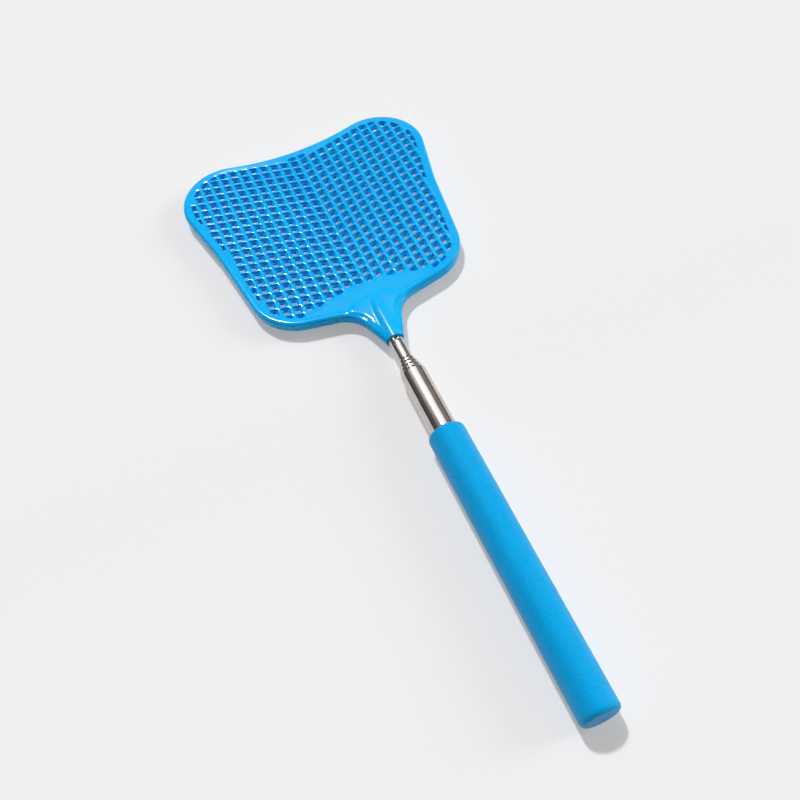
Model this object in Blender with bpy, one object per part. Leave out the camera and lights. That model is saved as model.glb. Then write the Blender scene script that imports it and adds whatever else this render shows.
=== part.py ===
"""Telescopic fly swatter: moulded grille head, five nested tubes and a soft grip.

The swatter lies on its grip with the pole along Y, the head towards +Y and the grille facing up.
Lengths are in metres. Stations along the pole are measured from the closed end of the grip.
"""
import bpy
import bmesh
from math import acos, atan2, ceil, cos, pi, sin, tan
from mathutils import Vector
from mathutils.geometry import delaunay_2d_cdt, intersect_point_line

MM = 0.001

# Grip
GRIP_LENGTH = 113.8 * MM
GRIP_DIAMETER = 14.6 * MM
GRIP_END_WALL = 3.0 * MM
GRIP_END_ROUND = 2.0 * MM
GRIP_TOP_ROUND = 1.6 * MM
GRIP_TOP_LAND = 0.4 * MM
GRIP_SIDES = 40

# Tubes, from the slim tip outwards
TIP_DIAMETER = 6.0 * MM
TUBE_STEP = 1.1 * MM
TUBE_WALL = 0.3 * MM
TUBE_SIDES = 24
TUBE_NAMES = ("tip", "second", "third", "fourth", "outer")
OUTER_EXPOSED = 30.0 * MM
RING_STEP = 2.1 * MM
TIP_EXPOSED = 11.5 * MM

# Swaged mouth that keeps the next tube in
SWAGE_LENGTH = 1.2 * MM
SWAGE_LIP = 0.4 * MM
LIP_CLEARANCE = 0.06 * MM

# Necked tube end with its shims and collar
NECK_DEPTH = 0.12 * MM
SHIM_LENGTH = 5.0 * MM
SHIM_SLIT = 0.4 * MM
SHIM_CLEARANCE = 0.06 * MM
COLLAR_LENGTH = 1.5 * MM
COLLAR_CLEARANCE = 0.06 * MM
END_PLAY = 0.1 * MM
STACK_GAP = 0.3 * MM

# Base plug in the outer tube
PLUG_LENGTH = 14.0 * MM
PLUG_FLANGE = 1.5 * MM
PRESS_CLEARANCE = 0.05 * MM
SEAT_GAP = 0.2 * MM

# Head outline: filleted corners of one half, across from the pole's axis and along from the
# head's datum, which lies HEAD_DATUM beyond the socket's mouth
HEAD_DATUM = 66.6 * MM
DIP_ALONG = 48.4 * MM
DIP_FILLET = 106.0 * MM
FAR_LOBE_ACROSS = 64.1 * MM
FAR_LOBE_ALONG = 65.9 * MM
FAR_LOBE_FILLET = 21.2 * MM
WAIST_ACROSS = 51.2 * MM
WAIST_ALONG = 8.0 * MM
WAIST_FILLET = 76.8 * MM
NEAR_LOBE_ACROSS = 44.3 * MM
NEAR_LOBE_ALONG = -42.0 * MM
NEAR_LOBE_FILLET = 21.7 * MM
SHOULDER_ACROSS = 10.2 * MM
SHOULDER_ALONG = -49.1 * MM
SHOULDER_FILLET = 12.6 * MM
MOUTH_HALF_WIDTH = 4.0 * MM
OUTLINE_TOLERANCE = 0.12 * MM
POINT_SPACING = 0.02 * MM

# Head plate and rim
PLATE_THICKNESS = 1.2 * MM
RIM_DEPTH = 4.0 * MM
RIM_WIDTH = 2.4 * MM
RIM_LAND = 1.3 * MM
RIM_ROUND = 1.0 * MM
RIM_FOOT_CHAMFER = 0.4 * MM
HEAD_RISE = 2.0 * MM

# Chevron grille, whose ribs widen by RIB_DRAFT on each side towards the underside
GRID_PITCH = 4.6 * MM
RIB_WIDTH = 1.1 * MM
RIB_DRAFT = 0.7 * MM
CHEVRON_SLOPE = 0.265
GRID_PHASE = 1.8 * MM
APRON_TOP = -35.6 * MM
APRON_RADIUS = 62.0 * MM
SMALLEST_HOLE_SHARE = 0.22

# Neck pad and socket
PAD_HEIGHT = 0.6 * MM
PAD_TOP_ALONG = -40.5 * MM
PAD_TOP_FILLET = 20.0 * MM
PAD_SIDE_ACROSS = 14.0 * MM
PAD_SIDE_ALONG = -47.0 * MM
PAD_SIDE_FILLET = 1.8 * MM
PAD_WAIST_ACROSS = 7.2 * MM
PAD_WAIST_ALONG = -52.0 * MM
PAD_WAIST_FILLET = 9.0 * MM
PAD_EDGE = 1.0 * MM
SOCKET_WALL = 0.75 * MM
SOCKET_NOSE_WALL = 0.6 * MM
SOCKET_DEPTH = 14.0 * MM
SOCKET_NOSE = 10.0 * MM
SOCKET_LIP = 0.5 * MM
DRILL_OVERRUN = 1.0 * MM

# Stations worked out from the sizes above
GRIP_RADIUS = GRIP_DIAMETER / 2
AXIS_HEIGHT = GRIP_RADIUS * cos(pi / GRIP_SIDES)
TUBE_COUNT = len(TUBE_NAMES)
OUTER = TUBE_COUNT - 1
NECK_LENGTH = COLLAR_LENGTH + SHIM_LENGTH + 2 * END_PLAY
MOUTH_STATION = GRIP_LENGTH + OUTER_EXPOSED + (TUBE_COUNT - 2) * RING_STEP + TIP_EXPOSED
SOCKET_FACE = MOUTH_STATION - SOCKET_LIP
DATUM_STATION = MOUTH_STATION + HEAD_DATUM


def outside(index):
    """Outer radius of a tube, counted from the tip."""
    return (TIP_DIAMETER + index * TUBE_STEP) / 2


def inside(index):
    """Inner radius of a tube."""
    return outside(index) - TUBE_WALL


def mouth(index):
    """Station of a tube's upper end; the tip tube ends inside the socket."""
    if index == 0:
        return SOCKET_FACE + SOCKET_DEPTH
    return GRIP_LENGTH + OUTER_EXPOSED + (OUTER - index) * RING_STEP


def foot(index):
    """Station of a tube's lower end, each one above the neck of the tube around it."""
    seat = GRIP_END_WALL + SEAT_GAP + PLUG_FLANGE + SEAT_GAP
    if index == OUTER:
        return seat
    return seat + PLUG_LENGTH + STACK_GAP + (OUTER - 1 - index) * (NECK_LENGTH + STACK_GAP)


def material(name, colour, roughness, metallic=0.0):
    """Principled material with the piece's colour."""
    made = bpy.data.materials.new(name)
    made.use_nodes = True
    shader = made.node_tree.nodes["Principled BSDF"]
    shader.inputs["Base Color"].default_value = (*colour, 1.0)
    shader.inputs["Roughness"].default_value = roughness
    shader.inputs["Metallic"].default_value = metallic
    made.diffuse_color = (*colour, 1.0)
    return made


def finish(name, mesh_builder, look, parent, station=0.0, smooth_angle=35.0):
    """Turn a finished bmesh into a named object on the pole's axis."""
    bmesh.ops.recalc_face_normals(mesh_builder, faces=mesh_builder.faces)
    mesh = bpy.data.meshes.new(name)
    mesh_builder.to_mesh(mesh)
    mesh_builder.free()
    mesh.shade_smooth()
    mesh.set_sharp_from_angle(angle=smooth_angle * pi / 180)
    mesh.materials.append(look)
    made = bpy.data.objects.new(name, mesh)
    bpy.context.collection.objects.link(made)
    made.parent = parent
    made.location = (0.0, station, 0.0)
    return made


def turned(profile, sides, start=None, sweep=None):
    """Turn a closed (radius, station) profile about Y; a part turn gets flat ends."""
    full = sweep is None
    first = pi / sides if full else start
    turn = 2 * pi if full else sweep
    steps = sides if full else round(sides * sweep / (2 * pi))
    shape = bmesh.new()
    rings = []
    for step in range(steps if full else steps + 1):
        angle = first + turn * step / steps
        rings.append([shape.verts.new((r * sin(angle), y, r * cos(angle))) for r, y in profile])
    pairs = list(zip(rings, rings[1:]))
    if full:
        pairs.append((rings[-1], rings[0]))
    for ring, following in pairs:
        for here in range(len(profile)):
            ahead = (here + 1) % len(profile)
            shape.faces.new((ring[here], ring[ahead], following[ahead], following[here]))
    if not full:
        shape.faces.new(rings[0])
        shape.faces.new(rings[-1])
    bmesh.ops.remove_doubles(shape, verts=shape.verts, dist=1e-7)
    bmesh.ops.dissolve_degenerate(shape, edges=shape.edges, dist=1e-7)
    return shape


def quarter_round(centre_r, centre_y, radius, start, steps=4):
    """Points on a quarter circle of a profile, turning left from the start angle."""
    angles = [start + pi / 2 * step / steps for step in range(steps + 1)]
    return [(centre_r + radius * cos(a), centre_y + radius * sin(a)) for a in angles]


def tube_profile(index):
    """Section of a tube wall, from its foot up the outside and down the inside."""
    radius, bore = outside(index), inside(index)
    low, high = foot(index), mouth(index)
    points = []
    if index == OUTER:
        points += [(radius, low)]
    else:
        neck_top = low + NECK_LENGTH
        neck = radius - NECK_DEPTH
        points += [(neck, low), (neck, neck_top), (radius, neck_top + NECK_DEPTH)]
    if index == 0:
        points += [(radius, high), (bore, high)]
    else:
        lip = outside(index - 1) + LIP_CLEARANCE
        drawn_in = bore - lip
        points += [
            (radius, high - SWAGE_LENGTH),
            (radius - drawn_in / 2, high - SWAGE_LIP),
            (radius - drawn_in - TUBE_WALL / 3, high),
            (lip, high),
            (lip, high - SWAGE_LIP),
            (bore, high - SWAGE_LENGTH),
        ]
    if index == OUTER:
        points += [(bore, low)]
    else:
        points += [(bore, neck_top + NECK_DEPTH), (bore - NECK_DEPTH, neck_top), (bore - NECK_DEPTH, low)]
    return points


def make_tubes(parent, look):
    for index, name in enumerate(TUBE_NAMES):
        finish(f"{name}_tube", turned(tube_profile(index), TUBE_SIDES), look, parent)


def make_shims(parent, look):
    """Two half shells on each sliding tube's neck."""
    for index, name in enumerate(TUBE_NAMES[:OUTER]):
        inner = outside(index) - NECK_DEPTH + SHIM_CLEARANCE
        outer = inside(index + 1) - SHIM_CLEARANCE
        low = foot(index) + COLLAR_LENGTH + END_PLAY
        high = low + SHIM_LENGTH
        section = [(outer, low), (outer, high), (inner, high), (inner, low)]
        slit = SHIM_SLIT / (2 * inner)
        for side, letter in enumerate("ab"):
            shell = turned(section, TUBE_SIDES, start=side * pi + slit, sweep=pi - 2 * slit)
            finish(f"{name}_shim_{letter}", shell, look, parent)


def make_collars(parent, look):
    """A stop collar pressed on the lower end of each sliding tube."""
    for index, name in enumerate(TUBE_NAMES[:OUTER]):
        inner = outside(index) - NECK_DEPTH + SHIM_CLEARANCE
        outer = inside(index + 1) - COLLAR_CLEARANCE
        low = foot(index)
        high = low + COLLAR_LENGTH
        section = [(outer, low), (outer, high), (inner, high), (inner, low)]
        finish(f"{name}_collar", turned(section, TUBE_SIDES), look, parent)


def make_base_plug(parent, look):
    flange_low = GRIP_END_WALL + SEAT_GAP
    flange_high = flange_low + PLUG_FLANGE
    spigot = inside(OUTER) - PRESS_CLEARANCE
    section = [
        (0.0, flange_low),
        (outside(OUTER), flange_low),
        (outside(OUTER), flange_high),
        (spigot, flange_high),
        (spigot, foot(OUTER) + PLUG_LENGTH),
        (0.0, foot(OUTER) + PLUG_LENGTH),
    ]
    finish("base_plug", turned(section, TUBE_SIDES), look, parent)


def make_grip(parent, look):
    """Soft sleeve, closed at the hand end, with the outer tube's bore from the top."""
    bore = outside(OUTER) + PRESS_CLEARANCE
    end = min(GRIP_END_ROUND, GRIP_RADIUS)
    top = min(GRIP_TOP_ROUND, GRIP_RADIUS - bore - GRIP_TOP_LAND)
    section = [(0.0, 0.0)]
    section += quarter_round(GRIP_RADIUS - end, end, end, -pi / 2)
    section += quarter_round(GRIP_RADIUS - top, GRIP_LENGTH - top, top, 0.0)
    section += [(bore, GRIP_LENGTH), (bore, GRIP_END_WALL), (0.0, GRIP_END_WALL)]
    finish("grip_sleeve", turned(section, GRIP_SIDES), look, parent)


def half_angles(spots):
    """Half of the angle between the two edges at each corner."""
    halves = []
    for index, spot in enumerate(spots):
        back = (spots[index - 1] - spot).normalized()
        ahead = (spots[(index + 1) % len(spots)] - spot).normalized()
        halves.append(acos(max(-1.0, min(1.0, back.dot(ahead)))) / 2)
    return halves


def fitting_radii(corners, spots, halves):
    """Fillet radii, made smaller where two fillets would meet on an edge."""
    reach = [corner[2] / tan(half) for corner, half in zip(corners, halves)]
    room = []
    for index, spot in enumerate(spots):
        taken = reach[index - 1] + reach[index]
        room.append(1.0 if taken == 0.0 else min(1.0, (spot - spots[index - 1]).length / taken))
    return [c[2] * min(room[i], room[(i + 1) % len(room)]) for i, c in enumerate(corners)]


def filleted(corners):
    """Closed outline through corners (x, y, radius), with an arc at each corner that has a radius."""
    spots = [Vector(corner[:2]) for corner in corners]
    halves = half_angles(spots)
    radii = fitting_radii(corners, spots, halves)
    points = []
    for index, corner in enumerate(spots):
        radius, half = radii[index], halves[index]
        if radius == 0.0:
            points.append(corner)
            continue
        back = (spots[index - 1] - corner).normalized()
        ahead = (spots[(index + 1) % len(spots)] - corner).normalized()
        centre = corner + (back + ahead).normalized() * (radius / sin(half))
        begin = corner + back * (radius / tan(half)) - centre
        turn = begin.angle_signed(corner + ahead * (radius / tan(half)) - centre)
        steps = max(2, ceil(abs(turn) / (2 * acos(1 - OUTLINE_TOLERANCE / radius))))
        first = atan2(begin.y, begin.x)
        for step in range(steps + 1):
            angle = first - turn * step / steps
            points.append(centre + Vector((cos(angle), sin(angle))) * radius)
    return points


def mirrored(half):
    """Close a half outline, given from its centre line round, with its mirror image."""
    other = [(-x, y, radius) for x, y, radius in reversed(half) if x > 0.0]
    return filleted(list(half) + other)


def head_corners():
    """Half of the head's outline, from the dip in its far edge round to the socket's mouth."""
    return [
        (0.0, DIP_ALONG, DIP_FILLET),
        (FAR_LOBE_ACROSS, FAR_LOBE_ALONG, FAR_LOBE_FILLET),
        (WAIST_ACROSS, WAIST_ALONG, WAIST_FILLET),
        (NEAR_LOBE_ACROSS, NEAR_LOBE_ALONG, NEAR_LOBE_FILLET),
        (SHOULDER_ACROSS, SHOULDER_ALONG, SHOULDER_FILLET),
        (MOUTH_HALF_WIDTH, -HEAD_DATUM, 0.0),
    ]


def pad_corners():
    """Half of the neck pad's outline."""
    return [
        (0.0, PAD_TOP_ALONG, PAD_TOP_FILLET),
        (PAD_SIDE_ACROSS, PAD_SIDE_ALONG, PAD_SIDE_FILLET),
        (PAD_WAIST_ACROSS, PAD_WAIST_ALONG, PAD_WAIST_FILLET),
        (MOUTH_HALF_WIDTH - PAD_EDGE, -HEAD_DATUM + PAD_EDGE, 0.0),
    ]


def offset(outline, distance):
    """Move each point of a clockwise outline inwards along the bisector of its two edges."""
    moved = []
    for index, here in enumerate(outline):
        back = (here - outline[index - 1]).normalized()
        ahead = (outline[(index + 1) % len(outline)] - here).normalized()
        inward = Vector((back.y + ahead.y, -back.x - ahead.x)).normalized()
        stretch = inward.dot(Vector((ahead.y, -ahead.x)))
        moved.append(here + inward * (distance / stretch))
    return moved


def cut_by_line(polygon, start, end):
    """Part of a convex polygon that lies on the right of a directed line."""
    along = end - start
    sides = [along.y * (p.x - start.x) - along.x * (p.y - start.y) for p in polygon]
    kept = []
    for index, point in enumerate(polygon):
        before, side = sides[index - 1], sides[index]
        if (before >= 0.0) != (side >= 0.0):
            share = before / (before - side)
            kept.append(polygon[index - 1].lerp(point, share))
        if side >= 0.0:
            kept.append(point)
    return kept


def area(polygon):
    """Area of a polygon."""
    crosses = [polygon[i - 1].x * p.y - p.x * polygon[i - 1].y for i, p in enumerate(polygon)]
    return abs(sum(crosses)) / 2


def apron_edge():
    """Arched border between the grille and the solid apron, from right to left."""
    reach = FAR_LOBE_ACROSS
    steps = 24
    points = []
    for step in range(steps + 1):
        across = reach * (1 - 2 * step / steps)
        lean = max(-1.0, min(1.0, across / APRON_RADIUS))
        points.append(Vector((across, APRON_TOP - APRON_RADIUS * (1 - (1 - lean * lean) ** 0.5))))
    return points


def grille_holes(rim_inside):
    """Openings between the chevron ribs, cut back to the rim and the apron."""
    opening = GRID_PITCH - RIB_WIDTH
    lean = opening / 2 * CHEVRON_SLOPE
    full_area = opening * opening
    apron = apron_edge()
    borders = list(zip(rim_inside, rim_inside[1:] + rim_inside[:1])) + list(zip(apron, apron[1:]))
    columns = ceil(FAR_LOBE_ACROSS / GRID_PITCH)
    rows = ceil((FAR_LOBE_ALONG - APRON_TOP) / GRID_PITCH) + columns
    holes = []
    for side in (1, -1):
        for column in range(columns):
            x = (column + 0.5) * GRID_PITCH
            for row in range(-rows, rows):
                y = row * GRID_PITCH + GRID_PHASE + x * CHEVRON_SLOPE
                half = opening / 2
                left = [(-half, -half - lean), (-half, half - lean)]
                right = [(half, half + lean), (half, -half + lean)]
                hole = [Vector((side * (x + u), y + v)) for u, v in left + right]
                holes.append((Vector((side * x, y)), hole))
    kept = []
    for centre, hole in holes:
        if not inside_outline(centre, rim_inside, apron):
            continue
        for start, end in borders:
            if edge_distance(centre, start, end) < GRID_PITCH:
                hole = cut_by_line(hole, start, end)
        if len(hole) > 2 and area(hole) > SMALLEST_HOLE_SHARE * full_area:
            kept.append(tidy_loop(hole))
    return kept


def drafted(hole):
    """Smaller opening that a hole has at the underside of the plate."""
    centre = sum(hole, Vector((0.0, 0.0))) / len(hole)
    share = 1 - 2 * RIB_DRAFT / (GRID_PITCH - RIB_WIDTH)
    return [centre.lerp(point, share) for point in hole]


def edge_distance(point, start, end):
    """Distance from a point to a straight edge."""
    _, share = intersect_point_line(point, start, end)
    return (start.lerp(end, max(0.0, min(1.0, share))) - point).length


def tidy_loop(polygon):
    """Drop points that nearly coincide."""
    return [p for i, p in enumerate(polygon) if (p - polygon[i - 1]).length > POINT_SPACING]


def inside_outline(point, outline, apron):
    """True for a point within the rim and beyond the apron, or at most half a cell outside."""
    crossings = 0
    for start, end in zip(outline, outline[1:] + outline[:1]):
        if (start.y > point.y) != (end.y > point.y):
            at = start.x + (end.x - start.x) * (point.y - start.y) / (end.y - start.y)
            crossings += at > point.x
    near = min(edge_distance(point, *edge) for edge in zip(outline, outline[1:] + outline[:1]))
    above = min(apron, key=lambda p: abs(p.x - point.x)).y - GRID_PITCH / 2 < point.y
    return above and (crossings % 2 == 1 or near < GRID_PITCH / 2)


def loop_verts(shape, outline, height):
    """Vertices of an outline at one height."""
    return [shape.verts.new((p.x, p.y, height)) for p in outline]


def bridge(shape, lower, upper):
    """Quads between two loops with the same number of points."""
    for index in range(len(lower)):
        shape.faces.new((lower[index - 1], lower[index], upper[index], upper[index - 1]))


def fill_with_holes(shape, border, holes):
    """Triangles between a border loop and the loops of its convex holes, all at one height."""
    verts = []
    edges = []
    owners = []
    for owner, loop in enumerate([border] + holes):
        first = len(verts)
        verts += loop
        owners += [owner] * len(loop)
        edges += [(first + i, first + (i + 1) % len(loop)) for i in range(len(loop))]
    flat = [v.co.xy for v in verts]
    _, _, faces, origins, _, _ = delaunay_2d_cdt(flat, edges, [], 1, 1e-9)
    for face in faces:
        corners = [origins[i][0] for i in face]
        in_hole = owners[corners[0]] > 0 and len({owners[i] for i in corners}) == 1
        if not in_hole:
            shape.faces.new([verts[i] for i in corners])


def head_plate():
    """Grille plate with a deeper rim; its top face is at height 0 and its datum at the origin."""
    outline = mirrored(head_corners())
    slope = RIM_ROUND * (1 - sin(pi / 4))
    levels = [
        (RIM_ROUND, 0.0),
        (slope, -slope),
        (0.0, -RIM_ROUND),
        (0.0, RIM_FOOT_CHAMFER - RIM_DEPTH),
        (RIM_FOOT_CHAMFER, -RIM_DEPTH),
        (RIM_WIDTH, -RIM_DEPTH),
        (RIM_WIDTH, -PLATE_THICKNESS),
    ]
    holes = grille_holes(offset(outline, RIM_WIDTH + RIM_LAND))
    shape = bmesh.new()
    rings = [loop_verts(shape, offset(outline, inward), height) for inward, height in levels]
    for upper, lower in zip(rings, rings[1:]):
        bridge(shape, lower, upper)
    tops = [loop_verts(shape, hole, 0.0) for hole in holes]
    bottoms = [loop_verts(shape, drafted(hole), -PLATE_THICKNESS) for hole in holes]
    for top, bottom in zip(tops, bottoms):
        bridge(shape, bottom, top)
    fill_with_holes(shape, rings[0], tops)
    fill_with_holes(shape, rings[-1], bottoms)
    return shape


def neck_pad():
    """Raised pad on the neck, with sloping edges, sunk into the plate."""
    outline = mirrored(pad_corners())
    levels = [(PAD_EDGE, PAD_HEIGHT), (0.0, 0.0), (0.0, -PLATE_THICKNESS / 2)]
    shape = bmesh.new()
    rings = [loop_verts(shape, offset(outline, inward), height) for inward, height in levels]
    for upper, lower in zip(rings, rings[1:]):
        bridge(shape, lower, upper)
    fill_with_holes(shape, rings[0], [])
    fill_with_holes(shape, rings[-1], [])
    return shape


def socket_profile():
    """Tapered socket with a rounded nose, about the pole's axis."""
    bore = outside(0) + PRESS_CLEARANCE
    low = -HEAD_DATUM - SOCKET_LIP
    high = low + SOCKET_DEPTH + SEAT_GAP
    nose = bore + SOCKET_NOSE_WALL
    steps = 5
    points = [(0.0, low), (bore + SOCKET_WALL, low)]
    for step in range(steps + 1):
        angle = pi / 2 * step / steps
        points.append((nose * cos(angle), high + SOCKET_NOSE * sin(angle)))
    return points


def hidden_tool(name, mesh_builder, station, height, parent):
    """Guide solid for a Boolean."""
    made = finish(name, mesh_builder, material(name, (0.5, 0.5, 0.5), 0.5), parent)
    made.location = (0.0, station, height)
    made.hide_render = True
    made.display_type = "WIRE"
    return made


def add_boolean(target, tool, operation):
    """Exact Boolean that stays on the target."""
    cut = target.modifiers.new(f"{operation.lower()} {tool.name}", "BOOLEAN")
    cut.operation = operation
    cut.solver = "EXACT"
    cut.object = tool


def make_head(parent, look):
    bore = outside(0) + PRESS_CLEARANCE
    depth = SOCKET_DEPTH + SEAT_GAP
    hole = [(0.0, -DRILL_OVERRUN), (bore, -DRILL_OVERRUN), (bore, depth), (0.0, depth)]
    head = finish("swatter_head", head_plate(), look, parent)
    head.location = (0.0, DATUM_STATION, HEAD_RISE)
    pad = hidden_tool("neck_pad_guide", neck_pad(), DATUM_STATION, HEAD_RISE, parent)
    socket = hidden_tool("socket_guide", turned(socket_profile(), TUBE_SIDES), DATUM_STATION, 0.0, parent)
    drill = hidden_tool("socket_drill", turned(hole, TUBE_SIDES), SOCKET_FACE, 0.0, parent)
    add_boolean(head, pad, "UNION")
    add_boolean(head, socket, "UNION")
    add_boolean(head, drill, "DIFFERENCE")


def far_end():
    """Station of the head's far end."""
    return DATUM_STATION + max(p.y for p in mirrored(head_corners()))


def main():
    for old in list(bpy.data.objects):
        bpy.data.objects.remove(old, do_unlink=True)
    pole_axis = bpy.data.objects.new("pole_axis", None)
    bpy.context.collection.objects.link(pole_axis)
    pole_axis.location = (0.0, -far_end() / 2, AXIS_HEIGHT)
    head_blue = material("gloss azure moulding", (0.01, 0.42, 0.92), 0.25)
    grip_blue = material("matte blue foam", (0.0, 0.2, 0.52), 0.8)
    nickel = material("polished nickel tube", (0.75, 0.72, 0.68), 0.12, 1.0)
    bronze = material("bronze shim", (0.72, 0.45, 0.2), 0.35, 1.0)
    brass = material("brass collar", (0.78, 0.6, 0.28), 0.3, 1.0)
    plug_black = material("black nylon plug", (0.03, 0.03, 0.035), 0.5)
    make_head(pole_axis, head_blue)
    make_tubes(pole_axis, nickel)
    make_shims(pole_axis, bronze)
    make_collars(pole_axis, brass)
    make_base_plug(pole_axis, plug_black)
    make_grip(pole_axis, grip_blue)


main()
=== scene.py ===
"""Looks of the telescopic fly swatter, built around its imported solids."""
from math import acos, atan2, ceil, cos, pi, radians, sin, tan

import bmesh
import bpy
import numpy as np
from mathutils import Euler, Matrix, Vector, noise
from mathutils.geometry import delaunay_2d_cdt


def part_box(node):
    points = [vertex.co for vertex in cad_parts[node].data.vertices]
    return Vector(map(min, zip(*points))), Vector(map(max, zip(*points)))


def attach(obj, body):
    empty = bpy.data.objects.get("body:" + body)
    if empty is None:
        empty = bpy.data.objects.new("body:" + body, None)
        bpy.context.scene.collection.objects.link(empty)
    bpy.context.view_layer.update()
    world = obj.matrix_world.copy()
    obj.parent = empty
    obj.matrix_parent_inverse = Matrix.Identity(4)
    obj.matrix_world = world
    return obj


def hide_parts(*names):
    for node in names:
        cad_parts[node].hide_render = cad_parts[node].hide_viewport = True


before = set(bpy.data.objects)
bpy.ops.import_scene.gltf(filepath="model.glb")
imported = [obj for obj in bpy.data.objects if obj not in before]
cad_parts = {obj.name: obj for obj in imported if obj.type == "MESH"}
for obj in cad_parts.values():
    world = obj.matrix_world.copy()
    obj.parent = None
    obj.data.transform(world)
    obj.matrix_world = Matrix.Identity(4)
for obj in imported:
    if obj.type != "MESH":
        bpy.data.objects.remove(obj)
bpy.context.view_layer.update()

MM = 0.001

# Sizes shared with the solids
GRIP_LENGTH = 113.8 * MM
GRIP_RADIUS = 7.3 * MM
GRIP_END_ROUND = 2.0 * MM
GRIP_TOP_ROUND = 1.6 * MM
GRIP_END_WALL = 3.0 * MM
TIP_DIAMETER = 6.0 * MM
TUBE_STEP = 1.1 * MM
TUBE_WALL = 0.3 * MM
TUBE_NAMES = ("tip", "second", "third", "fourth", "outer")
OUTER = len(TUBE_NAMES) - 1
OUTER_EXPOSED = 30.0 * MM
RING_STEP = 2.1 * MM
TIP_EXPOSED = 11.5 * MM
SWAGE_LENGTH = 1.2 * MM
SWAGE_LIP = 0.4 * MM
LIP_CLEARANCE = 0.06 * MM
NECK_DEPTH = 0.12 * MM
HEAD_DATUM = 66.6 * MM
HEAD_RISE = 2.0 * MM
MOUTH_HALF_WIDTH = 3.9 * MM
HEAD_CORNERS = (
    (0.0, 48.4, 106.0),
    (64.1, 65.9, 21.2),
    (51.2, 8.0, 76.8),
    (44.3, -42.0, 21.7),
    (10.2, -49.1, 12.6),
)
PAD_CORNERS = ((0.0, -40.5, 20.0), (14.0, -47.0, 1.8), (7.2, -52.0, 9.0), (2.9, -65.6, 0.0))
PAD_HEIGHT = 0.6 * MM
PAD_EDGE = 1.4 * MM
PLATE_THICKNESS = 1.2 * MM
RIM_WIDTH = 2.4 * MM
RIM_LAND = 1.3 * MM
GRID_PITCH = 4.6 * MM
RIB_WIDTH = 1.1 * MM
RIB_DRAFT = 0.7 * MM
CHEVRON_SLOPE = 0.265
GRID_PHASE = 1.8 * MM
APRON_TOP = -35.6 * MM
APRON_RADIUS = 62.0 * MM
SMALLEST_HOLE_SHARE = 0.22
SOCKET_LIP = 0.5 * MM
SOCKET_DEPTH = 14.2 * MM
SOCKET_NOSE = 10.0 * MM
SOCKET_MOUTH_RADIUS = 3.8 * MM
SOCKET_NOSE_RADIUS = 3.65 * MM
BORE_RADIUS = 3.05 * MM

# Sizes of the looks alone
RIB_DEPTH = 2.4 * MM
RIB_ROUND = 0.36 * MM
RIB_FLARE = 0.1 * MM
RIB_LIP = 0.2 * MM
RIB_LIP_SHARE = 0.07
TUBE_SIDES = 96
GRIP_SIDES = 128
BORE_SIDES = 64
SHARP_ANGLE = 40.0

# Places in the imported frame
grip_low, grip_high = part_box("grip_sleeve")
AXIS_Z = (grip_low.z + grip_high.z) / 2
END_Y = grip_low.y
MOUTH_Y = END_Y + GRIP_LENGTH + OUTER_EXPOSED + (OUTER - 1) * RING_STEP + TIP_EXPOSED
DATUM_Y = MOUTH_Y + HEAD_DATUM
TOP_Z = AXIS_Z + HEAD_RISE


# Mesh helpers
def to_object(name, shape, look):
    """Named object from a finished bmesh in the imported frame."""
    bmesh.ops.recalc_face_normals(shape, faces=shape.faces)
    mesh = bpy.data.meshes.new(name)
    shape.to_mesh(mesh)
    shape.free()
    mesh.shade_smooth()
    mesh.set_sharp_from_angle(angle=radians(SHARP_ANGLE))
    mesh.materials.append(look)
    made = bpy.data.objects.new(name, mesh)
    bpy.context.scene.collection.objects.link(made)
    return made


def lathe(profile, sides, shift=None):
    """Turn a closed (radius, y) profile about the pole's axis; shift changes a point's radius."""
    shape = bmesh.new()
    rings = []
    for step in range(sides):
        angle = 2 * pi * step / sides
        ring = []
        for radius, y in profile:
            r = radius + (shift(radius, y, angle) if shift else 0.0)
            ring.append(shape.verts.new((r * sin(angle), y, AXIS_Z + r * cos(angle))))
        rings.append(ring)
    count = len(profile)
    for index, ring in enumerate(rings):
        before = rings[index - 1]
        for here in range(count):
            ahead = (here + 1) % count
            shape.faces.new((before[here], before[ahead], ring[ahead], ring[here]))
    bmesh.ops.remove_doubles(shape, verts=shape.verts, dist=1e-7)
    bmesh.ops.dissolve_degenerate(shape, edges=shape.edges, dist=1e-7)
    return shape


def arc(centre_r, centre_y, radius, start, end, steps):
    """Points of a profile on an arc."""
    angles = [start + (end - start) * step / steps for step in range(steps + 1)]
    return [(centre_r + radius * cos(a), centre_y + radius * sin(a)) for a in angles]


def spread(start, end, spacing):
    """Points from start towards end, end left out, no further apart than the spacing."""
    across, along = end[0] - start[0], end[1] - start[1]
    steps = max(1, ceil(max(abs(across), abs(along)) / spacing))
    return [(start[0] + across * i / steps, start[1] + along * i / steps) for i in range(steps)]


def ease(share):
    """Smooth step from 0 to 1."""
    share = np.clip(share, 0.0, 1.0)
    return share * share * (3 - 2 * share)


# Tubes
NECK_LENGTH = 6.7 * MM
MOUTH_EDGE = 0.09 * MM
SWAGE_CURVE = 2.2
SWAGE_STEPS = 10
# Finely divided zone of the tip tube, from below to above the socket's mouth
FINE_BELOW = 5.0 * MM
FINE_ABOVE = 1.0 * MM
FINE_STEP = 0.12 * MM


def outside(index):
    return (TIP_DIAMETER + index * TUBE_STEP) / 2


def tube_ends(node):
    low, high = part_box(node)
    return low.y, high.y


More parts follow.
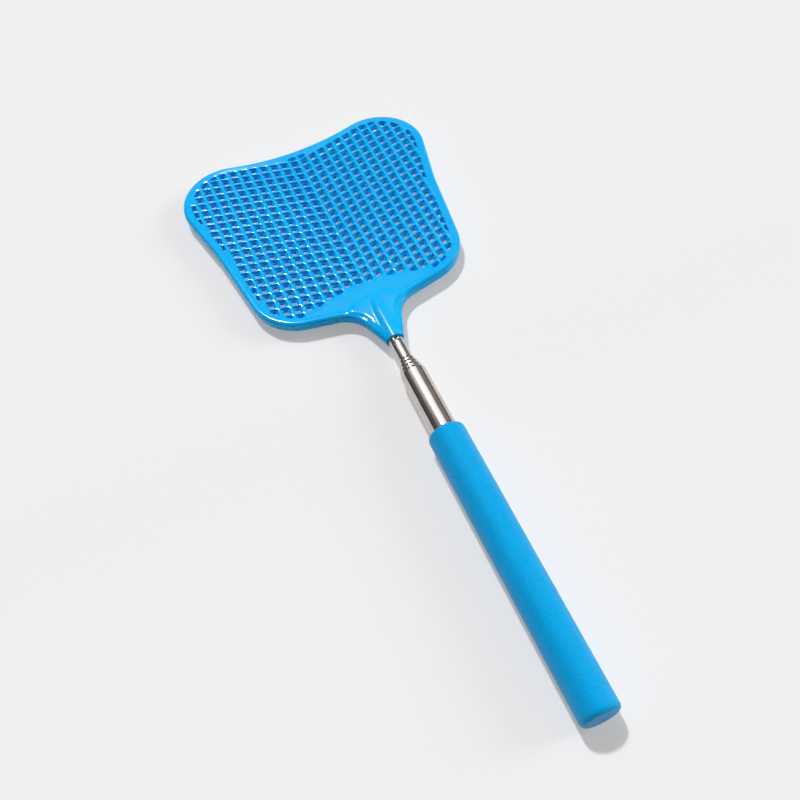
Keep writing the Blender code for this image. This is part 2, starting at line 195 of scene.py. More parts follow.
def tube_profile(index, node):
    """Wall of a tube, with a rolled-in mouth and a necked foot."""
    low, high = tube_ends(node)
    radius = outside(index)
    bore = radius - TUBE_WALL
    foot_drop = 0.0 if index == OUTER else NECK_DEPTH
    neck_top = low if index == OUTER else low + NECK_LENGTH
    points = [(radius - foot_drop, low), (radius - foot_drop, neck_top)]
    points.append((radius, neck_top + NECK_DEPTH))
    if index == 0:
        fine = MOUTH_Y - FINE_BELOW
        points += spread((radius, fine), (radius, MOUTH_Y + FINE_ABOVE), FINE_STEP)
        points += [(radius, high), (bore, high)]
        points += spread((bore, MOUTH_Y + FINE_ABOVE), (bore, fine), FINE_STEP)
    else:
        lip = outside(index - 1) + LIP_CLEARANCE
        shoulder = high - SWAGE_LENGTH
        end_radius = lip + 2 * MOUTH_EDGE
        for step in range(SWAGE_STEPS + 1):
            share = step / SWAGE_STEPS
            y = shoulder + (SWAGE_LENGTH - MOUTH_EDGE) * share
            points.append((radius + (end_radius - radius) * share ** SWAGE_CURVE, y))
        points += arc(lip + MOUTH_EDGE, high - MOUTH_EDGE, MOUTH_EDGE, 0.0, pi, 6)[1:]
        points += [(lip, high - SWAGE_LIP), (bore, shoulder)]
    points += [(bore, neck_top + NECK_DEPTH), (bore - foot_drop, neck_top), (bore - foot_drop, low)]
    return points


DIMPLE_Y = MOUTH_Y - SOCKET_LIP - 1.3 * MM
DIMPLE_ANGLE = radians(2.0)
DIMPLE_DEPTH = 0.6 * MM
DIMPLE_SIZE = 0.75 * MM
# Share of the depth that its lip stands up, how much wider the lip is, and how far both reach
DIMPLE_LIP = 0.35
DIMPLE_LIP_SPREAD = 4.0
DIMPLE_REACH = 16.0


def dimple(radius, y, angle):
    """Punch mark on the tip tube in front of the socket, with a raised lip."""
    turn = (angle - DIMPLE_ANGLE + pi) % (2 * pi) - pi
    away = ((turn * radius) ** 2 + (y - DIMPLE_Y) ** 2) / DIMPLE_SIZE ** 2
    if away >= DIMPLE_REACH:
        return 0.0
    return DIMPLE_DEPTH * (DIMPLE_LIP * np.exp(-away / DIMPLE_LIP_SPREAD) - np.exp(-away))


def make_tubes(look):
    bodies = ("head_section", "second_section", "third_section", "fourth_section", "grip_body")
    for index, name in enumerate(TUBE_NAMES):
        node = f"{name}_tube"
        shape = lathe(tube_profile(index, node), TUBE_SIDES, dimple if index == 0 else None)
        tube = to_object(f"{name}_tube_polished", shape, look)
        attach(tube, bodies[index])
        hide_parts(node)


# Grip
GRIP_BORE_GAP = 0.05 * MM
GRIP_LIP_ROUND = 0.25 * MM
GRIP_END_STEP = 1.0 * MM
GRIP_SIDE_STEP = 0.6 * MM
SWELL_SKIN = 0.3 * MM
# Density and height of the foam's slow and fine unevenness, and how far both are sunk, in millimetres
SWELL_SLOW = (0.16, 0.05)
SWELL_FINE = (1.1, 0.018)
SWELL_DROP = 0.06


def foam_swell(radius, y, angle):
    """Slight unevenness of a foam sleeve; its bore and its ends stay true."""
    if radius < GRIP_RADIUS - SWELL_SKIN:
        return 0.0
    spot = Vector((cos(angle) * GRIP_RADIUS, y - END_Y, sin(angle) * GRIP_RADIUS)) / MM
    slow = noise.noise(spot * SWELL_SLOW[0]) * SWELL_SLOW[1]
    fine = noise.noise(spot * SWELL_FINE[0]) * SWELL_FINE[1]
    return (slow + fine - SWELL_DROP) * MM


def make_grip(look):
    bore = outside(OUTER) + GRIP_BORE_GAP
    top = END_Y + GRIP_LENGTH
    end_centre = GRIP_RADIUS - GRIP_END_ROUND
    top_centre = GRIP_RADIUS - GRIP_TOP_ROUND
    profile = [(0.0, END_Y)]
    profile += spread((GRIP_END_STEP, END_Y), (end_centre, END_Y), GRIP_END_STEP)
    profile += arc(end_centre, END_Y + GRIP_END_ROUND, GRIP_END_ROUND, -pi / 2, 0.0, 10)
    side_start = (GRIP_RADIUS, END_Y + GRIP_END_ROUND)
    side_end = (GRIP_RADIUS, top - GRIP_TOP_ROUND)
    profile += spread(side_start, side_end, GRIP_SIDE_STEP)[1:]
    profile += arc(top_centre, top - GRIP_TOP_ROUND, GRIP_TOP_ROUND, 0.0, pi / 2, 12)
    profile += arc(bore + GRIP_LIP_ROUND, top - GRIP_LIP_ROUND, GRIP_LIP_ROUND, pi / 2, pi, 4)
    profile += [(bore, END_Y + GRIP_END_WALL), (0.0, END_Y + GRIP_END_WALL)]
    grip = to_object("grip_foam_sleeve", lathe(profile, GRIP_SIDES, foam_swell), look)
    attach(grip, "grip_body")
    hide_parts("grip_sleeve")


# Head
def filleted(corners, tolerance):
    """Closed outline through corners (x, y, radius)."""
    spots = [Vector(corner[:2]) for corner in corners]
    points = []
    for index, corner in enumerate(spots):
        radius = corners[index][2]
        if radius == 0.0:
            points.append(corner)
            continue
        back = (spots[index - 1] - corner).normalized()
        ahead = (spots[(index + 1) % len(spots)] - corner).normalized()
        half = acos(max(-1.0, min(1.0, back.dot(ahead)))) / 2
        centre = corner + (back + ahead).normalized() * (radius / sin(half))
        begin = corner + back * (radius / tan(half)) - centre
        turn = begin.angle_signed(corner + ahead * (radius / tan(half)) - centre)
        steps = max(2, ceil(abs(turn) / (2 * acos(1 - tolerance / radius))))
        first = atan2(begin.y, begin.x)
        for step in range(steps + 1):
            angle = first - turn * step / steps
            points.append(centre + Vector((cos(angle), sin(angle))) * radius)
    return points


def mirrored(half, tolerance):
    """Outline from half of its corners, given in millimetres from the centre line round."""
    right = [(x * MM, y * MM, radius * MM) for x, y, radius in half]
    left = [(-x, y, radius) for x, y, radius in reversed(right) if x > 0.0]
    return filleted(right + left, tolerance)


def offset(outline, distance):
    """Move each point of a clockwise outline inwards along the bisector of its edges."""
    moved = []
    for index, here in enumerate(outline):
        back = (here - outline[index - 1]).normalized()
        ahead = (outline[(index + 1) % len(outline)] - here).normalized()
        inward = Vector((back.y + ahead.y, -back.x - ahead.x)).normalized()
        stretch = inward.dot(Vector((ahead.y, -ahead.x)))
        moved.append(here + inward * (distance / stretch))
    return moved


def head_outline(tolerance):
    mouth = (MOUTH_HALF_WIDTH / MM, -(HEAD_DATUM + SOCKET_LIP) / MM, 0.0)
    return mirrored(HEAD_CORNERS + (mouth,), tolerance)


MOUTH_STEPS = 28


def rim_ring(outline, inward):
    """Outline moved inwards, with extra points along the socket's mouth."""
    moved = offset(outline, inward)
    ring = []
    for index, point in enumerate(moved):
        ring.append(point)
        after = moved[(index + 1) % len(moved)]
        here = outline[index]
        ahead = outline[(index + 1) % len(outline)]
        if here.x > 0.0 > ahead.x and here.y < -HEAD_DATUM and ahead.y < -HEAD_DATUM:
            ring += [point.lerp(after, step / MOUTH_STEPS) for step in range(1, MOUTH_STEPS)]
    return ring


def cut_by_line(polygon, start, end):
    """Part of a convex polygon on the right of a directed line."""
    along = end - start
    sides = [along.y * (p.x - start.x) - along.x * (p.y - start.y) for p in polygon]
    kept = []
    for index, point in enumerate(polygon):
        before, side = sides[index - 1], sides[index]
        if (before >= 0.0) != (side >= 0.0):
            kept.append(polygon[index - 1].lerp(point, before / (before - side)))
        if side >= 0.0:
            kept.append(point)
    return kept


def area(polygon):
    return abs(sum(polygon[i - 1].x * p.y - p.x * polygon[i - 1].y for i, p in enumerate(polygon))) / 2


def apron_height(across):
    """Arched border between the grille and the apron."""
    lean = np.clip(np.abs(across) / APRON_RADIUS, 0.0, 1.0)
    return APRON_TOP - APRON_RADIUS * (1 - np.sqrt(1 - lean * lean))


def polygon_distance(points, polygon):
    """Distance of each point to a polygon's border, positive inside."""
    points = np.asarray(points, float)
    corners = np.array([tuple(p) for p in polygon])
    best = np.full(len(points), 1e9)
    crossings = np.zeros(len(points), int)
    for start, end in zip(corners, np.roll(corners, -1, axis=0)):
        along = end - start
        share = np.clip(((points - start) @ along) / max(along @ along, 1e-18), 0.0, 1.0)
        gap = np.linalg.norm(points - start - share[:, None] * along, axis=1)
        best = np.minimum(best, gap)
        spans = (start[1] > points[:, 1]) != (end[1] > points[:, 1])
        rise = end[1] - start[1] if end[1] != start[1] else 1.0
        at = start[0] + along[0] * (points[:, 1] - start[1]) / rise
        crossings += spans & (at > points[:, 0])
    return np.where(crossings % 2 == 1, best, -best)


# Grille
BORDER_TOLERANCE = 0.12 * MM
SHORTEST_SIDE = 0.3 * MM
ARCH_STEPS = 12
# Columns on each side of the middle line, and rows above and below the datum
COLUMNS = 15
ROWS = 20


def grille_holes():
    """Openings between the chevron ribs, cut back to the rim and the apron."""
    border = offset(head_outline(BORDER_TOLERANCE), RIM_WIDTH + RIM_LAND)
    across = [HEAD_CORNERS[1][0] * MM * (1 - step / ARCH_STEPS) for step in range(2 * ARCH_STEPS + 1)]
    apron = [Vector((x, float(apron_height(x)))) for x in across]
    edges = list(zip(border, border[1:] + border[:1])) + list(zip(apron, apron[1:]))
    opening = GRID_PITCH - RIB_WIDTH
    half = opening / 2
    lean = half * CHEVRON_SLOPE
    cell = [(-half, -half - lean), (-half, half - lean), (half, half + lean), (half, -half + lean)]
    holes = []
    for side in (1, -1):
        for column in range(COLUMNS):
            x = (column + 0.5) * GRID_PITCH
            for row in range(-ROWS, ROWS):
                y = row * GRID_PITCH + GRID_PHASE + x * CHEVRON_SLOPE
                hole = [Vector((side * (x + u), y + v)) for u, v in cell]
                holes.append((Vector((side * x, y)), hole))
    depths = polygon_distance([centre for centre, _ in holes], border)
    kept = []
    for (centre, hole), depth in zip(holes, depths):
        if depth < -half or centre.y < apron_height(centre.x) - half:
            continue
        for start, end in edges:
            along = end - start
            share = max(0.0, min(1.0, (centre - start).dot(along) / along.length_squared))
            if (start.lerp(end, share) - centre).length < GRID_PITCH:
                hole = cut_by_line(hole, start, end)
        if len(hole) > 2 and area(hole) > SMALLEST_HOLE_SHARE * opening * opening:
            hole = [p for i, p in enumerate(hole) if (p - hole[i - 1]).length > SHORTEST_SIDE]
            if len(hole) > 2:
                kept.append(hole)
    return kept


CORNER_STEPS = 3
HOLE_CORNER = 0.5 * MM
# Largest corner radius as a share of the radius of a circle that would fit the opening
CORNER_SHARE = 0.45
CLOSE_POINTS = 0.01 * MM


def inset(loop, distance):
    """Part of an anticlockwise convex polygon that lies deeper than a distance."""
    kept = loop
    for index, end in enumerate(loop):
        start = loop[index - 1]
        along = (end - start).normalized()
        shift = Vector((-along.y, along.x)) * distance
        kept = cut_by_line(kept, end + shift, start + shift)
    return [p for i, p in enumerate(kept) if (p - kept[i - 1]).length > CLOSE_POINTS]


def rounded_hole(polygon):
    """Centres and directions of a convex hole's rounded corners, and the corner radius."""
    turn = sum(polygon[i - 1].x * p.y - p.x * polygon[i - 1].y for i, p in enumerate(polygon))
    loop = polygon if turn > 0.0 else polygon[::-1]
    girth = sum((p - loop[i - 1]).length for i, p in enumerate(loop))
    radius = min(HOLE_CORNER, CORNER_SHARE * 2 * area(loop) / girth)
    core = inset(loop, radius)
    centres, ways = [], []
    for index, here in enumerate(core):
        back = (here - core[index - 1]).normalized()
        ahead = (core[(index + 1) % len(core)] - here).normalized()
        first = atan2(-back.x, back.y)
        bend = (atan2(-ahead.x, ahead.y) - first + pi) % (2 * pi) - pi
        for step in range(CORNER_STEPS + 1):
            angle = first + bend * step / CORNER_STEPS
            centres.append(here)
            ways.append(Vector((cos(angle), sin(angle))))
    return centres, ways, radius


def smooth_max(first, second, blend):
    """Larger of two heights, with the crease between them rounded."""
    gap = first - second
    rounded = (first + second + np.sqrt(gap ** 2 + blend * blend)) / 2
    return rounded - blend * blend / 8 / (np.abs(gap) + blend)


def socket_radius(along):
    depth = along + HEAD_DATUM + SOCKET_LIP
    taper = SOCKET_MOUTH_RADIUS + (SOCKET_NOSE_RADIUS - SOCKET_MOUTH_RADIUS) * depth / SOCKET_DEPTH
    past = np.clip((depth - SOCKET_DEPTH) / SOCKET_NOSE, 0.0, 1.0)
    return np.where(depth < SOCKET_DEPTH, taper, SOCKET_NOSE_RADIUS * np.sqrt(1 - past * past))


PAD_OUTLINE = mirrored(PAD_CORNERS, 0.02 * MM)
BLEND = 0.45 * MM


def top_height(points, base):
    """Height of the upper surface over the plate: rim or plate, raised pad and socket ridge."""
    x, y = points[:, 0], points[:, 1]
    pad = PAD_HEIGHT * ease(polygon_distance(points, PAD_OUTLINE) / PAD_EDGE)
    radius = socket_radius(y)
    ridge = np.sqrt(np.clip(radius ** 2 - x ** 2, 0.0, None)) - HEAD_RISE
    return smooth_max(base + pad, ridge, BLEND)


def bottom_height(points, base):
    """Height of the lower surface: plate or rim foot, and the socket's barrel."""
    x, y = points[:, 0], points[:, 1]
    radius = socket_radius(y)
    barrel = -np.sqrt(np.clip(radius ** 2 - x ** 2, 0.0, None)) - HEAD_RISE
    return -smooth_max(-base, -barrel, BLEND)


# Section of the rim: distance in from the outline, height over the plate
RIM_TOP = (
    (0.04, -1.35), (0.08, -0.95), (0.22, -0.55), (0.5, -0.22), (0.85, 0.0),
    (1.3, 0.12), (1.8, 0.12), (2.3, 0.06), (2.8, 0.0),
)
RIM_FOOT = (
    (0.04, -3.5), (0.16, -3.83), (0.5, -4.0), (1.85, -4.0),
    (2.15, -3.88), (2.26, -3.6), (2.32, -2.65), (2.42, -2.4),
)
# The rim's wall grows shallower towards the mouth: where that starts and ends, and the share left
NECK_START = -50.0 * MM
NECK_END = -64.0 * MM
NECK_SHARE = 0.55
# How far below the ribs a level counts as part of that wall
WALL_MARGIN = 0.3 * MM
# Section of a hole's edge: distance out from the opening, height
HOLE_TOP = ((1.0, 0.0), (0.43, -0.18), (0.09, -0.58), (0.0, -1.0))


def rim_level(ring, level):
    """Level of the rim's section at each point, with a shallower wall along the neck."""
    levels = np.full(len(ring), level)
    if level < -RIB_DEPTH - WALL_MARGIN:
        levels *= 1 - (1 - NECK_SHARE) * ease((ring[:, 1] - NECK_START) / (NECK_END - NECK_START))
    return levels


def lay_ring(shape, ring, heights):
    return [shape.verts.new((p[0], DATUM_Y + p[1], TOP_Z + h)) for p, h in zip(ring, heights)]


def bridge(shape, first, second):
    for index in range(len(first)):
        shape.faces.new((first[index - 1], first[index], second[index], second[index - 1]))


def fill(shape, border, holes, loose):
    """Triangles between a border loop and its holes, through loose points."""
    verts, edges, owners = [], [], []
    for owner, loop in enumerate([border] + holes):
        first = len(verts)
        verts += loop
        owners += [owner] * len(loop)
        edges += [(first + i, first + (i + 1) % len(loop)) for i in range(len(loop))]
    verts += loose
    owners += [0] * len(loose)
    flat = [v.co.xy for v in verts]
    _, _, faces, origins, _, _ = delaunay_2d_cdt(flat, edges, [], 1, 1e-9)
    for face in faces:
        corners = [origins[i][0] for i in face]
        in_hole = owners[corners[0]] > 0 and len({owners[i] for i in corners}) == 1
        if not in_hole:
            shape.faces.new([verts[i] for i in corners])


# Step and reach of the coarse and the fine grid of loose points
COARSE_GRID = (0.9 * MM, 34.0 * MM)
FINE_GRID = (0.3 * MM, 4.2 * MM)
# Where the fine grid ends, and how far both are shifted off the middle line
FINE_TOP = -40.0 * MM
GRID_SHIFT = 0.13 * MM
# How far the points keep from the apron's arch and from the border
ARCH_MARGIN = 0.7 * MM
BORDER_MARGIN = 0.35 * MM


def apron_points(border):
    """Loose points over the apron and the neck, closer together round the socket's ridge."""
    points = []
    for step, reach in (COARSE_GRID, FINE_GRID):
        rows = np.arange(-HEAD_DATUM, APRON_TOP, step)
        columns = np.arange(-reach, reach, step)
        grid = np.array([(x + GRID_SHIFT, y) for y in rows for x in columns])
        fine_zone = (np.abs(grid[:, 0]) < FINE_GRID[1]) & (grid[:, 1] < FINE_TOP)
        grid = grid[fine_zone if step == FINE_GRID[0] else ~fine_zone]
        grid = grid[grid[:, 1] < apron_height(grid[:, 0]) - ARCH_MARGIN]
        points.append(grid[polygon_distance(grid, border) > BORDER_MARGIN])
    return np.vstack(points)


RIM_TOLERANCE = 0.015 * MM
WELD = 2e-7


def make_head(look):
    outline = head_outline(RIM_TOLERANCE)
    holes = grille_holes()
    shape = bmesh.new()
    rings = []
    for section, height in ((RIM_TOP, top_height), (RIM_FOOT, bottom_height)):
        for inward, level in section:
            ring = np.array([tuple(p) for p in rim_ring(outline, inward * MM)])
            heights = height(ring, rim_level(ring, level * MM))
            rings.append((ring, lay_ring(shape, ring, heights)))
    split = len(RIM_TOP)
    for first, second in zip(range(split - 1, 0, -1), range(split - 2, -1, -1)):
        bridge(shape, rings[first][1], rings[second][1])
    bridge(shape, rings[0][1], rings[split][1])
    for first in range(split, len(rings) - 1):
        bridge(shape, rings[first][1], rings[first + 1][1])
    tops, bottoms = [], []
    share = 1 - 2 * (RIB_DRAFT + RIB_FLARE) / (GRID_PITCH - RIB_WIDTH)
    walls = (
        (share, -PLATE_THICKNESS),
        (share, -RIB_DEPTH + RIB_LIP),
        (share + RIB_LIP_SHARE, -RIB_DEPTH),
    )
    for hole in holes:
        centres, ways, radius = rounded_hole(hole)
        loops = []
        for outset, level in HOLE_TOP:
            ring = [c + w * (radius + outset * RIB_ROUND) for c, w in zip(centres, ways)]
            loops.append(lay_ring(shape, ring, [level * RIB_ROUND] * len(ring)))
        middle = sum(hole, Vector((0.0, 0.0))) / len(hole)
        opening = [c + w * radius for c, w in zip(centres, ways)]
        for scale, level in walls:
            ring = [middle.lerp(p, scale) for p in opening]
            loops.append(lay_ring(shape, ring, [level] * len(ring)))
        for first, second in zip(loops, loops[1:]):
            bridge(shape, first, second)
        tops.append(loops[0])
        bottoms.append(loops[-1])
    for ring, height, level, loops in (
        (rings[split - 1], top_height, 0.0, tops),
        (rings[-1], bottom_height, -RIB_DEPTH, bottoms),
    ):
        loose = apron_points(ring[0])
        heights = height(loose, np.full(len(loose), level))
        fill(shape, ring[1], loops, lay_ring(shape, loose, heights))
    bmesh.ops.remove_doubles(shape, verts=shape.verts, dist=WELD)
    bmesh.ops.dissolve_degenerate(shape, edges=shape.edges, dist=WELD)
    head = to_object("swatter_head_moulded", shape, look)
    drill_socket(head)
    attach(head, "head_section")
    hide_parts("swatter_head")


DRILL_OVERSHOOT = 2.0 * MM


def drill_socket(head):
    """Bore the socket for the tip tube."""
    face = MOUTH_Y - SOCKET_LIP
    start = face - DRILL_OVERSHOOT
    deep = face + SOCKET_DEPTH
    profile = [(0.0, start), (BORE_RADIUS, start), (BORE_RADIUS, deep), (0.0, deep)]
    drill = to_object("socket_drill", lathe(profile, BORE_SIDES), head.data.materials[0])
    cut = head.modifiers.new("bore", "BOOLEAN")
    cut.operation = "DIFFERENCE"
    cut.solver = "EXACT"
    cut.object = drill
    depsgraph = bpy.context.evaluated_depsgraph_get()
    bored = bpy.data.meshes.new_from_object(head.evaluated_get(depsgraph))
    head.modifiers.clear()
    head.data = bored
    bored.shade_smooth()
    bored.set_sharp_from_angle(angle=radians(SHARP_ANGLE))
    bpy.data.objects.remove(drill, do_unlink=True)


# Materials
class Nodes:
    """Shader nodes, added to a tree and wired by name."""

    def __init__(self, tree):
        self.tree = tree

    def add(self, kind, **inputs):
        node = self.tree.nodes.new(kind)
        for key, value in inputs.items():
            self.put(node.inputs[key.replace("_", " ")], value)
        return node

    def put(self, socket, value):
        if isinstance(value, bpy.types.NodeSocket):
            self.tree.links.new(value, socket)
        else:
            socket.default_value = value

    def math(self, operation, *values):
        node = self.add("ShaderNodeMath")
        node.operation = operation
        for socket, value in zip(node.inputs, values):
            self.put(socket, value)
        return node.outputs["Value"]

    def ramp(self, value, stops):
        node = self.add("ShaderNodeValToRGB", Fac=value)
        while len(node.color_ramp.elements) < len(stops):
            node.color_ramp.elements.new(0.5)
        for element, (position, colour) in zip(node.color_ramp.elements, stops):
            element.position = position
            element.color = (*colour, 1.0)
        return node.outputs["Color"]

    def span(self, value, low, high, start=0.0, end=1.0):
        node = self.add("ShaderNodeMapRange", Value=value)
        node.inputs["From Min"].default_value = start
        node.inputs["From Max"].default_value = end
        node.inputs["To Min"].default_value = low
        node.inputs["To Max"].default_value = high
        return node.outputs["Result"]


class Look(Nodes):
    """Principled material whose details come from nodes."""

    def __init__(self, name):
        self.made = bpy.data.materials.new(name)
        self.made.use_nodes = True
        super().__init__(self.made.node_tree)
        self.shader = self.tree.nodes["Principled BSDF"]
        self.place = self.add("ShaderNodeTexCoord").outputs["Object"]

    def set(self, **inputs):
        for key, value in inputs.items():
            self.put(self.shader.inputs[key.replace("_", " ")], value)

    def stretched(self, scale):
        return self.add("ShaderNodeMapping", Vector=self.place, Scale=scale).outputs["Vector"]

    def noise(self, scale, detail=3.0, roughness=0.5, where=None):
        node = self.add("ShaderNodeTexNoise", Vector=where or self.place, Scale=scale)
        self.put(node.inputs["Detail"], detail)
        self.put(node.inputs["Roughness"], roughness)
        return node.outputs["Fac"]

    def bump(self, value, strength, distance):
        node = self.add("ShaderNodeBump", Height=value, Strength=strength, Distance=distance)
        return node.outputs["Normal"]


def head_look():
    look = Look("azure moulded plastic")
    flow = look.noise(55.0, 4.0, 0.55, look.stretched((1.0, 0.45, 1.0)))
    look.set(
        Base_Color=look.ramp(flow, [(0.3, (0.001, 0.445, 0.94)), (0.7, (0.003, 0.49, 0.98))]),
        Roughness=look.span(look.noise(420.0, 3.0), 0.1, 0.16),
        Normal=look.bump(look.noise(900.0, 2.0), 0.05, 0.0002),
        Specular_IOR_Level=0.23,
        Subsurface_Weight=0.45,
        Subsurface_Radius=(0.1, 0.6, 1.0),
        Subsurface_Scale=0.0008,
    )
    return look.made


def grip_look():
    look = Look("blue foam")
    grain = look.noise(2300.0, 4.0, 0.65)
    blotch = look.noise(900.0, 3.0)
    mixed = look.math("ADD", look.span(grain, 0.0, 0.5), look.span(blotch, 0.0, 0.5))
    look.set(
        Base_Color=look.ramp(mixed, [(0.3, (0.0, 0.31, 0.69)), (0.7, (0.0, 0.42, 0.86))]),
        Roughness=look.span(grain, 0.38, 0.5),
        Normal=look.bump(grain, 0.6, 0.0004),
        Specular_Tint=(0.05, 0.6, 1.0, 1.0),
        Specular_IOR_Level=0.8,
    )
    return look.made


def metal_look(name, dark, light, rough_low, rough_high):
    look = Look(name)
    drawn = look.noise(1.0, 3.0, 0.6, look.stretched((2600.0, 30.0, 2600.0)))
    haze = look.noise(220.0, 3.0)
    look.set(
        Base_Color=look.ramp(haze, [(0.3, dark), (0.75, light)]),
        Metallic=1.0,
        Roughness=look.span(drawn, rough_low, rough_high),
        Normal=look.bump(drawn, 0.04, 0.0001),
    )
    return look.made


def nylon_look():
    look = Look("black nylon")
    speck = look.noise(1500.0, 3.0)
    look.set(
        Base_Color=look.ramp(speck, [(0.3, (0.018, 0.018, 0.02)), (0.7, (0.04, 0.04, 0.044))]),
        Roughness=look.span(speck, 0.4, 0.6),
        Normal=look.bump(speck, 0.1, 0.0002),
    )
    return look.made


# Stage
FLOOR_REACH = 6.0
RISE_ROWS = 33
RISE_START = DATUM_Y - 125.0 * MM
RISE_END = DATUM_Y - 55.0 * MM
FLOOR_RISE = 2.35 * MM
# Pale backdrop mixed into the floor where it is seen or mirrored
FLOOR_GLOW = (1.0, 0.99, 0.97, 1.0)
FLOOR_GLOW_SHARE = 0.32


def make_floor():
    """Wide pale sheet that lifts slightly under the head."""
    shape = bmesh.new()
    rows = []
    for y in (-FLOOR_REACH, *np.linspace(RISE_START, RISE_END, RISE_ROWS), FLOOR_REACH):
        height = FLOOR_RISE * float(ease((y - RISE_START) / (RISE_END - RISE_START)))
        rows.append([shape.verts.new((x, y, height)) for x in (-FLOOR_REACH, FLOOR_REACH)])
    for near, far in zip(rows, rows[1:]):
        shape.faces.new((near[0], near[1], far[1], far[0]))
    look = Look("pale studio paper")
    fibre = look.noise(700.0, 4.0)
    look.set(
        Base_Color=look.ramp(fibre, [(0.3, (0.80, 0.80, 0.805)), (0.7, (0.82, 0.82, 0.823))]),
        Roughness=0.9,
    )
    path = look.add("ShaderNodeLightPath").outputs
    seen = look.math("ADD", path["Is Camera Ray"], path["Is Glossy Ray"])
    seen = look.math("MINIMUM", look.math("ADD", seen, path["Is Transmission Ray"]), 1.0)
    glow = look.add("ShaderNodeEmission", Color=FLOOR_GLOW)
    mix = look.add("ShaderNodeMixShader", Fac=look.math("MULTIPLY", seen, FLOOR_GLOW_SHARE))
    look.put(mix.inputs[1], look.shader.outputs["BSDF"])
    look.put(mix.inputs[2], glow.outputs["Emission"])
    look.put(look.tree.nodes["Material Output"].inputs["Surface"], mix.outputs["Shader"])
    floor = to_object("studio_floor", shape, look.made)
    if floor.data.polygons[0].normal.z < 0.0:
        floor.data.flip_normals()


# Lamps: direction towards each, its share of the floor's light, its width in degrees and its colour
KEY = (Vector((-0.03, 0.66, 1.0)), 0.66, 5.0, (0.98, 0.99, 1.03))
FILL = (Vector((1.0, -0.1, 0.42)), 0.15, 24.0, (1.0, 1.0, 1.0))
# Studio room: radiance by the sine of the elevation
ROOM_LOW = -0.1
ROOM = (
    (-0.01, (0.87, 0.87, 0.87)),
    (0.03, (0.11, 0.10, 0.09)),
    (0.2, (0.27, 0.255, 0.23)),
    (0.45, (0.46, 0.43, 0.39)),
    (0.75, (0.36, 0.33, 0.30)),
    (0.9, (0.10, 0.09, 0.08)),
)
# Shares of that radiance on the left and the right, and on the near and the far side
ROOM_SIDES = (0.35, 0.85)
ROOM_DEPTH = (0.9, 0.85)
ROOM_REACH = (-0.8, 0.8)
# Bent panel overhead, in tangents: where its left and right edges fade
PANEL_LEFT = (-1.1, 0.0)
PANEL_RIGHT = (0.6, 0.8)
# Its middle, half width and fading along, and the place and the slope of its bend
PANEL_ALONG = (0.63, 0.13, 0.06)
PANEL_BEND = (0.15, 0.3)
# Heights over which it fades in, and its radiance
PANEL_HORIZON = (0.02, 0.1)
PANEL_COLOUR = (1.5, 1.44, 1.4, 1.0)


def make_lamp(name, direction, share, width, colour):
    lamp = bpy.data.lights.new(name, "SUN")
    lamp.energy = share * pi / direction.normalized().z
    lamp.color = colour
    lamp.angle = radians(width)
    made = bpy.data.objects.new(name, lamp)
    made.rotation_mode = "QUATERNION"
    made.rotation_quaternion = direction.to_track_quat("Z", "Y")
    bpy.context.scene.collection.objects.link(made)


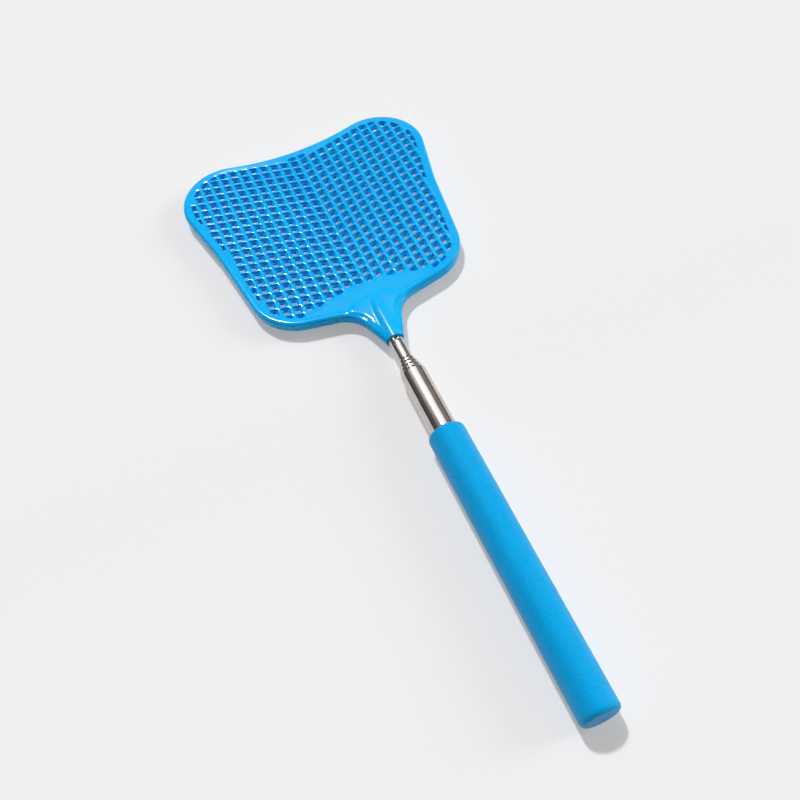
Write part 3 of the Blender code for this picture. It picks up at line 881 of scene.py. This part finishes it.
def make_room():
    """Dim warm room with a wide soft panel overhead."""
    world = bpy.data.worlds.new("studio")
    bpy.context.scene.world = world
    world.use_nodes = True
    nodes = Nodes(world.node_tree)
    way = nodes.add("ShaderNodeTexCoord").outputs["Generated"]
    x, y, z = nodes.add("ShaderNodeSeparateXYZ", Vector=way).outputs
    height = nodes.span(z, 0.0, 1.0, ROOM_LOW, 1.0)
    room = nodes.ramp(height, [((sine - ROOM_LOW) / (1.0 - ROOM_LOW), colour) for sine, colour in ROOM])
    sides = nodes.span(x, *ROOM_SIDES, *ROOM_REACH)
    depth = nodes.span(y, *ROOM_DEPTH, *ROOM_REACH)
    lean = nodes.math("MULTIPLY", sides, depth)
    room = nodes.add("ShaderNodeVectorMath", Vector=room)
    room.operation = "SCALE"
    nodes.put(room.inputs["Scale"], lean)
    up = nodes.math("MAXIMUM", z, PANEL_HORIZON[0])
    across = nodes.math("DIVIDE", x, up)
    turn, slope = PANEL_BEND
    bend = nodes.math("ABSOLUTE", nodes.math("SUBTRACT", across, turn))
    along = nodes.math("SUBTRACT", nodes.math("DIVIDE", y, up), nodes.math("MULTIPLY", bend, slope))
    middle, half, edge = PANEL_ALONG
    away = nodes.math("ABSOLUTE", nodes.math("SUBTRACT", along, middle))
    inside = nodes.span(z, 0.0, 1.0, *PANEL_HORIZON)
    inside = nodes.math("MULTIPLY", inside, nodes.span(away, 1.0, 0.0, half, half + edge))
    inside = nodes.math("MULTIPLY", inside, nodes.span(across, 0.0, 1.0, *PANEL_LEFT))
    inside = nodes.math("MULTIPLY", inside, nodes.span(across, 1.0, 0.0, *PANEL_RIGHT))
    mix = nodes.add("ShaderNodeMix")
    mix.data_type = "RGBA"
    colour_a, colour_b = [s for s in mix.inputs if s.type == "RGBA"]
    nodes.put(mix.inputs["Factor"], inside)
    nodes.put(colour_a, room.outputs["Vector"])
    nodes.put(colour_b, PANEL_COLOUR)
    out = [s for s in mix.outputs if s.type == "RGBA"][0]
    nodes.put(world.node_tree.nodes["Background"].inputs["Color"], out)


# Camera: focal length and sensor in millimetres, place, and turn in degrees
CAMERA_LENS = 42.58
CAMERA_SENSOR = 36.0
CAMERA_NEAR = 0.01
CAMERA_PLACE = (-65.92 * MM, DATUM_Y - 283.30 * MM, TOP_Z + 296.66 * MM)
CAMERA_TURN = (33.228, 4.453, -23.35)


def make_camera():
    view = bpy.data.cameras.new("camera")
    view.lens = CAMERA_LENS
    view.sensor_width = CAMERA_SENSOR
    view.clip_start = CAMERA_NEAR
    camera = bpy.data.objects.new("camera", view)
    camera.location = CAMERA_PLACE
    camera.rotation_euler = Euler([radians(turn) for turn in CAMERA_TURN], "XYZ")
    bpy.context.scene.collection.objects.link(camera)
    bpy.context.scene.camera = camera


def dress_inner_nodes():
    """Better finishes for the pieces inside the tubes, which keep their solids."""
    bronze = metal_look("phosphor bronze", (0.5, 0.29, 0.13), (0.68, 0.42, 0.2), 0.3, 0.45)
    brass = metal_look("turned brass", (0.62, 0.46, 0.2), (0.78, 0.6, 0.29), 0.2, 0.36)
    looks = {"shim": bronze, "collar": brass, "plug": nylon_look()}
    for name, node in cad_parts.items():
        for key, look in looks.items():
            if key in name:
                node.data.materials.clear()
                node.data.materials.append(look)


bpy.context.scene.view_settings.view_transform = "Standard"
make_camera()
make_lamp("key", *KEY)
make_lamp("fill", *FILL)
make_room()
make_floor()
make_head(head_look())
make_tubes(metal_look("polished nickel", (0.55, 0.52, 0.5), (0.68, 0.65, 0.63), 0.09, 0.16))
make_grip(grip_look())
dress_inner_nodes()
